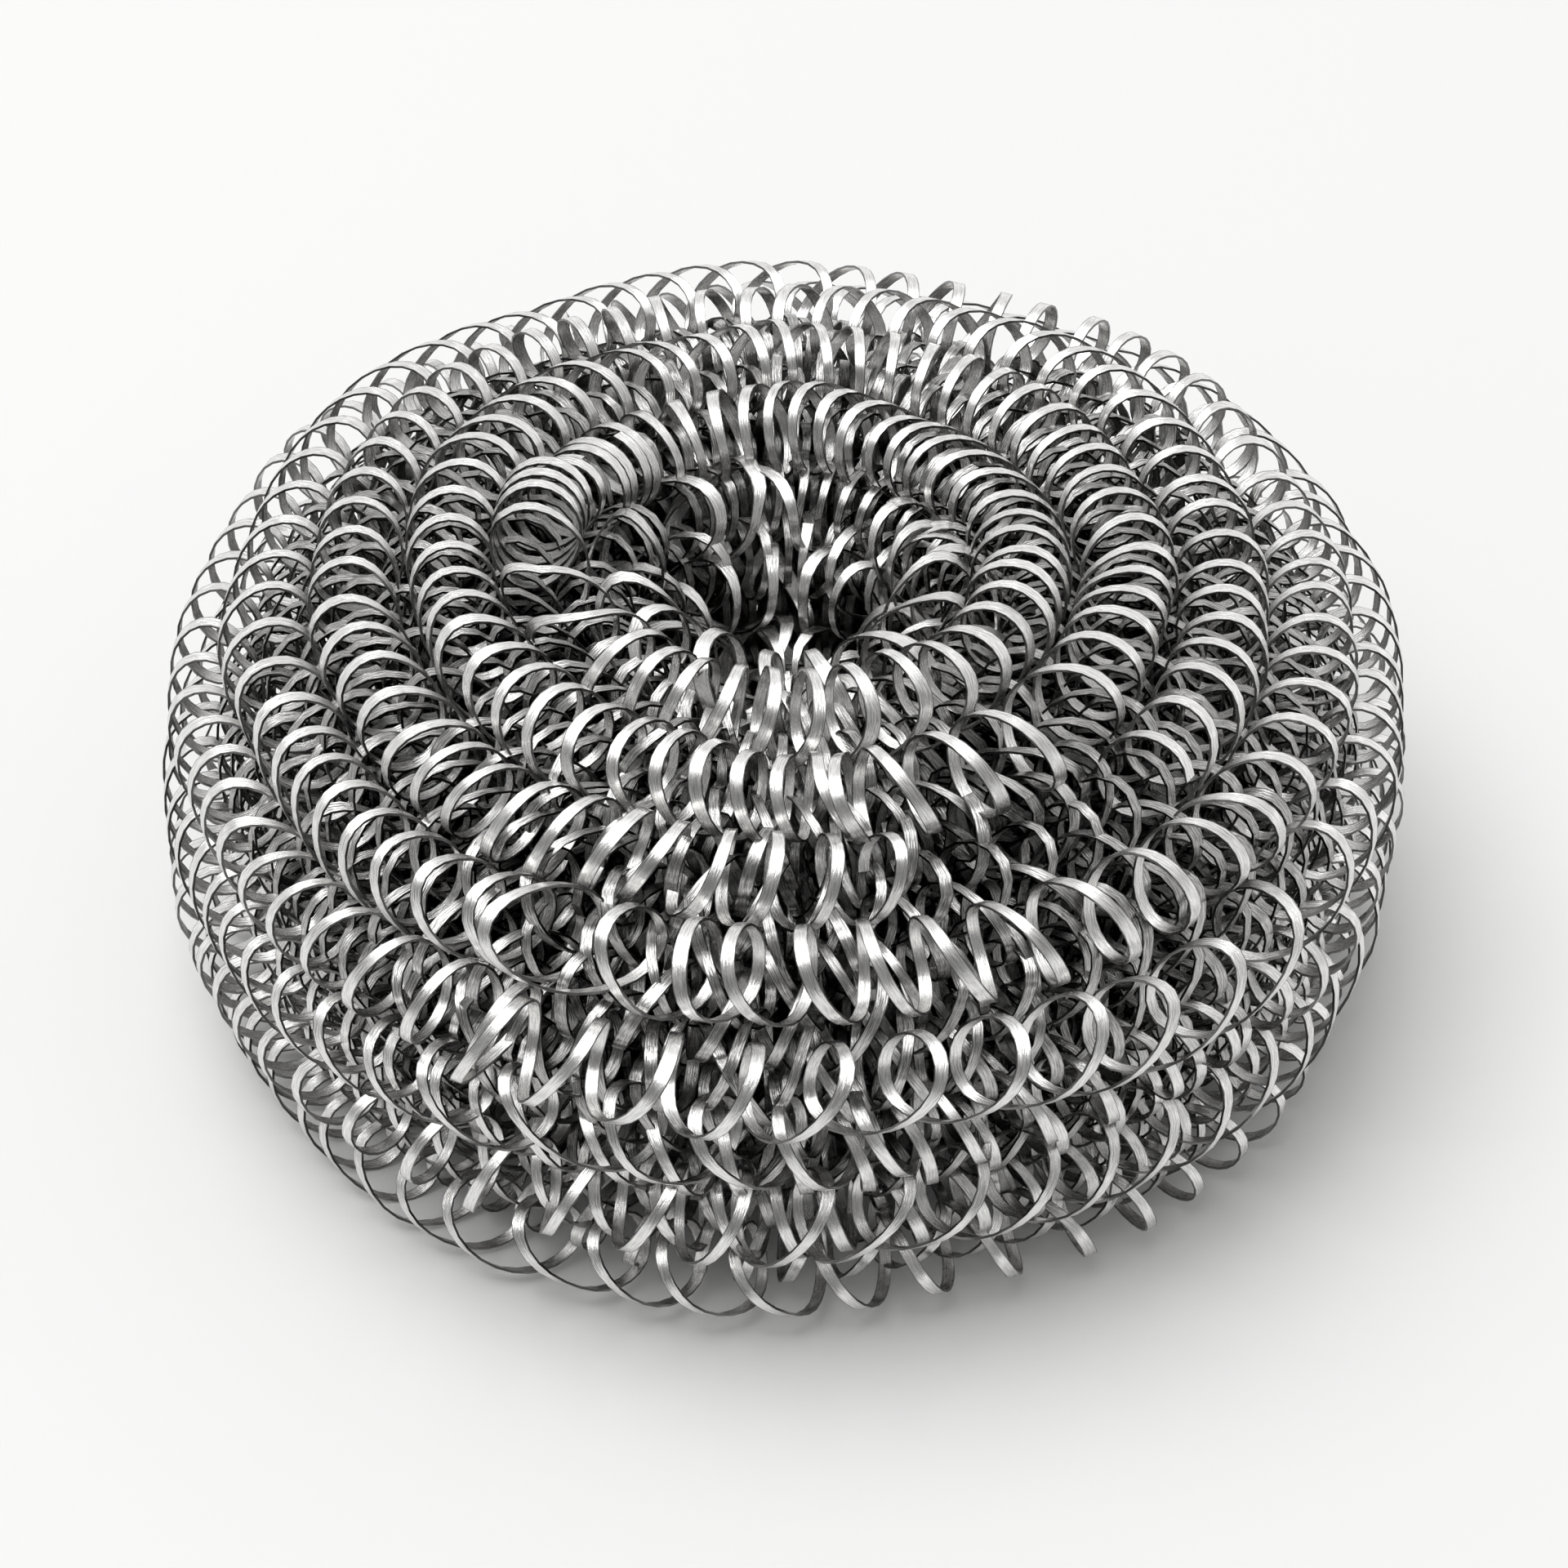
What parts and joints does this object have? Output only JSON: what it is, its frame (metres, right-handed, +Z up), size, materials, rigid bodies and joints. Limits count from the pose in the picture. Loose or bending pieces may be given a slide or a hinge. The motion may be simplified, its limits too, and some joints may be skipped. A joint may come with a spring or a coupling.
{
  "type": "metal scourer",
  "caption": "Round scouring pad of flat steel ribbon, coiled like a spring and wound row upon row into a soft ring with a dimple in the middle.",
  "frame": {"origin": "on the table, under the middle of the ring", "axes": "+Z up through the dimple; -Y towards the viewer of the picture"},
  "size_m": [0.085, 0.085, 0.0364],
  "materials": {
    "steel_ribbon": "bright rolled strip with fine streaks along it"
  },
  "bodies": {
    "root": {"scourer_coil": "steel_ribbon"}
  },
  "joints": []
}
